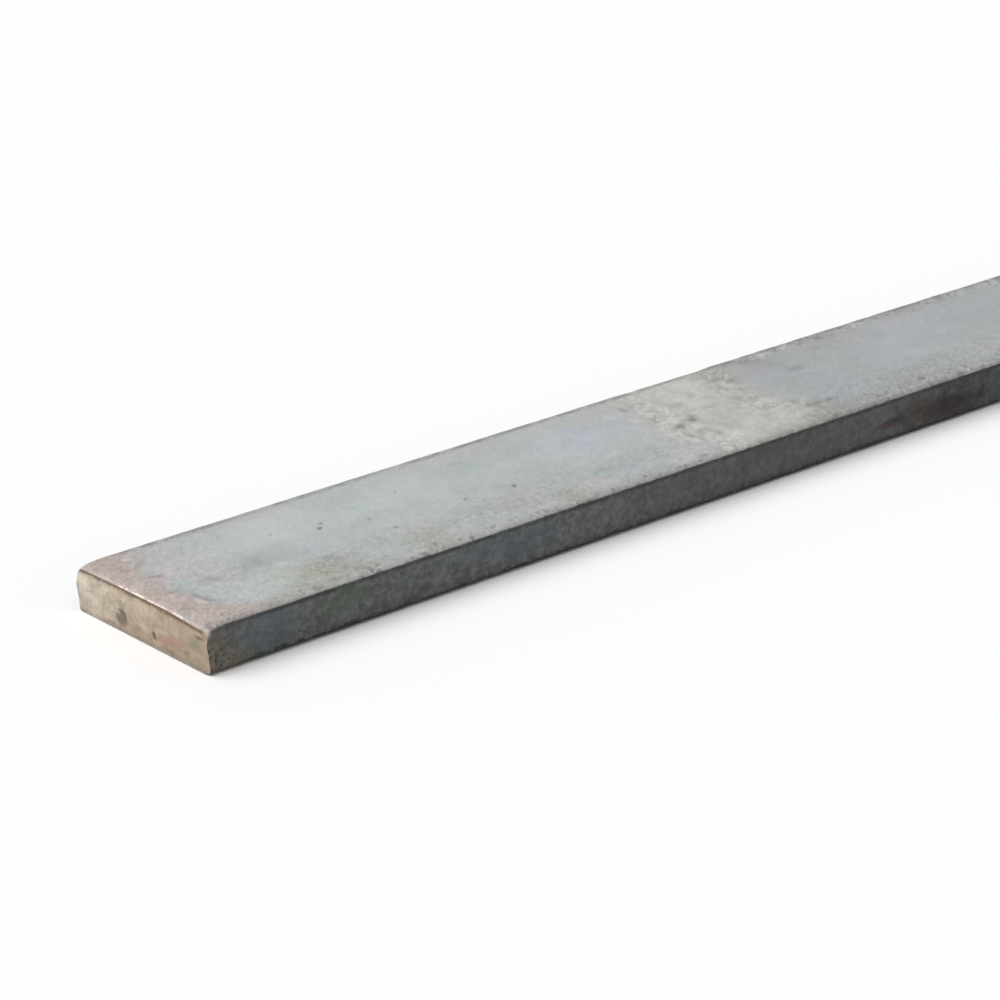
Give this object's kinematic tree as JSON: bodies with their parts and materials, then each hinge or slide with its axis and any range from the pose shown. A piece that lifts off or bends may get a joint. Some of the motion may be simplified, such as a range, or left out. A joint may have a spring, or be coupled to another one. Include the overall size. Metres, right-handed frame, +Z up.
{
  "type": "steel flat bar",
  "caption": "Hot-rolled mild steel flat bar with small round corners, slightly bowed narrow edges and sheared ends: stock for frames, brackets and straps.",
  "frame": {"origin": "middle of the bar's underside", "axes": "+X along the bar, away from the end whose top edge is rolled over by the shear; +Y across its width; +Z up through its thickness"},
  "size_m": [1, 0.025, 0.006],
  "materials": {
    "rolled_steel": "Blue-grey mill scale with light tan rust along the long edges and beside the cuts, and bare sheared steel with a thin brown bloom on both ends."
  },
  "bodies": {
    "root": {"flat_bar": "rolled_steel"}
  },
  "joints": []
}
